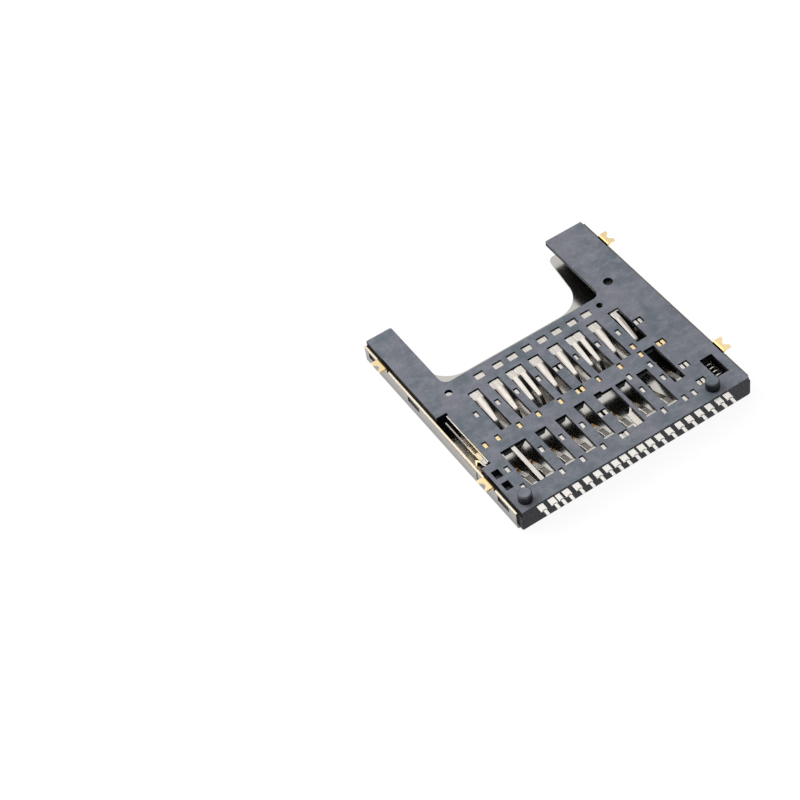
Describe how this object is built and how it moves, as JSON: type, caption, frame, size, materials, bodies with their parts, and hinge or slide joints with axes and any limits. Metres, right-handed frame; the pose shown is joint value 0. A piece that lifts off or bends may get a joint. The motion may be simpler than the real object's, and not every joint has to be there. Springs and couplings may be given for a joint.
{
  "type": "memory card socket",
  "caption": "Low push-push memory card socket: folded metal cover over a windowed plastic housing with two rows of spring contacts, rear solder tails, side tabs and a card ejector.",
  "frame": {"origin": "middle of the body on the outer flat face of the cover", "axes": "+Z from the cover to the board side, +Y to the end where the card goes in, +X to the ejector side"},
  "size_m": [0.0306, 0.0307, 0.004],
  "materials": {
    "housing_plastic": "matte, slightly mottled",
    "slider_plastic": "matte",
    "plated_cover": "satin nickel plate",
    "contact_metal": "bright plate with gold tips",
    "spring_wire": "drawn wire",
    "spring_leaf": "rolled strip"
  },
  "bodies": {
    "socket_body": {"housing": "housing_plastic", "cover": "plated_cover", "front_contact_1": "contact_metal", "front_contact_2": "contact_metal", "front_contact_3": "contact_metal", "front_contact_4": "contact_metal", "front_contact_5": "contact_metal", "front_contact_6": "contact_metal", "front_contact_7": "contact_metal", "front_contact_8": "contact_metal", "front_contact_9": "contact_metal", "rear_contact_1": "contact_metal", "rear_contact_2": "contact_metal", "rear_contact_3": "contact_metal", "rear_contact_4": "contact_metal", "rear_contact_5": "contact_metal", "rear_contact_6": "contact_metal", "rear_contact_7": "contact_metal", "rear_contact_8": "contact_metal", "rear_contact_9": "contact_metal", "detect_spring": "contact_metal", "detect_pad": "contact_metal", "protect_spring": "contact_metal", "protect_ground": "contact_metal", "ejector_spring": "spring_wire"},
    "ejector": {"ejector_slider": "slider_plastic", "card_lock_leaf": "spring_leaf"},
    "rod": {"cam_rod": "spring_wire"}
  },
  "joints": [
    {"name": "ejector_slide", "type": "slide", "parent": "socket_body", "child": "ejector", "axis": [0, -1, 0], "range_m": [0, 0.0039], "stiffness_N_per_m": 300, "springref_m": -0.001, "deforming": ["ejector_spring"]},
    {"name": "cam_rod_swing", "type": "hinge", "parent": "socket_body", "child": "rod", "pos_m": [0.01273, 0.00852, 0.0013], "axis": [0, 0, 1], "range_deg": [0, 2.81]}
  ],
  "couplings": [
    {"joint": "cam_rod_swing", "follows": "ejector_slide", "rad_per_m": 12.593}
  ]
}
